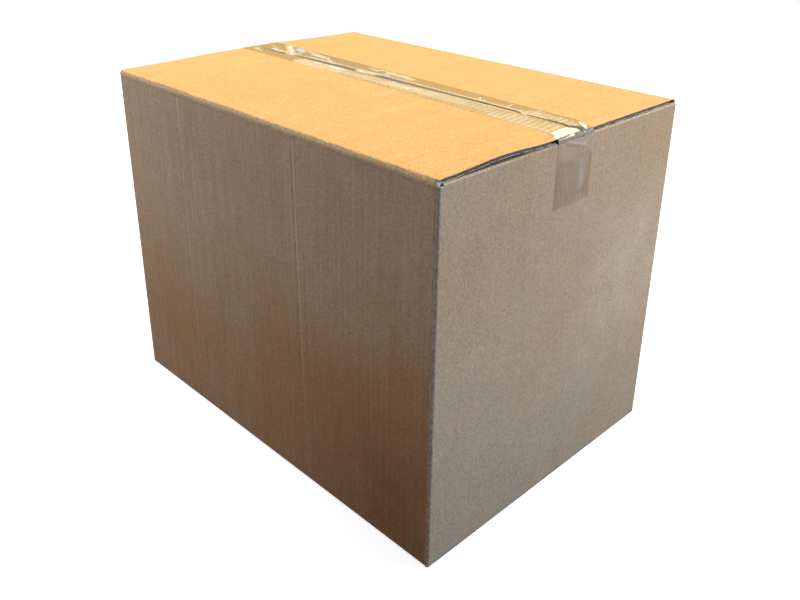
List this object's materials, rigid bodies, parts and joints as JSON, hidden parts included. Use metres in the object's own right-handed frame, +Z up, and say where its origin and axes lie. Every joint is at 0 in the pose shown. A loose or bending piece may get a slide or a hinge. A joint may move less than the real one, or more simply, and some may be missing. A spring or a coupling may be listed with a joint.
{
  "type": "closed cardboard box",
  "caption": "Closed shipping box folded from single-wall corrugated board, its long top flaps sprung up a little along the seam and held by a strip of packing tape.",
  "frame": {"origin": "middle of the base, on the floor it stands on", "axes": "+X along the box from the far end wall to the near one, +Y across it away from the long side wall with the two rub marks, +Z up through the taped top"},
  "size_m": [0.4508, 0.324, 0.3533],
  "materials": {
    "board": "matt kraft liner",
    "tape": "glossy packing tape, wrinkled"
  },
  "bodies": {
    "root": {"carton_blank": "board", "top_tape": "tape"}
  },
  "joints": []
}
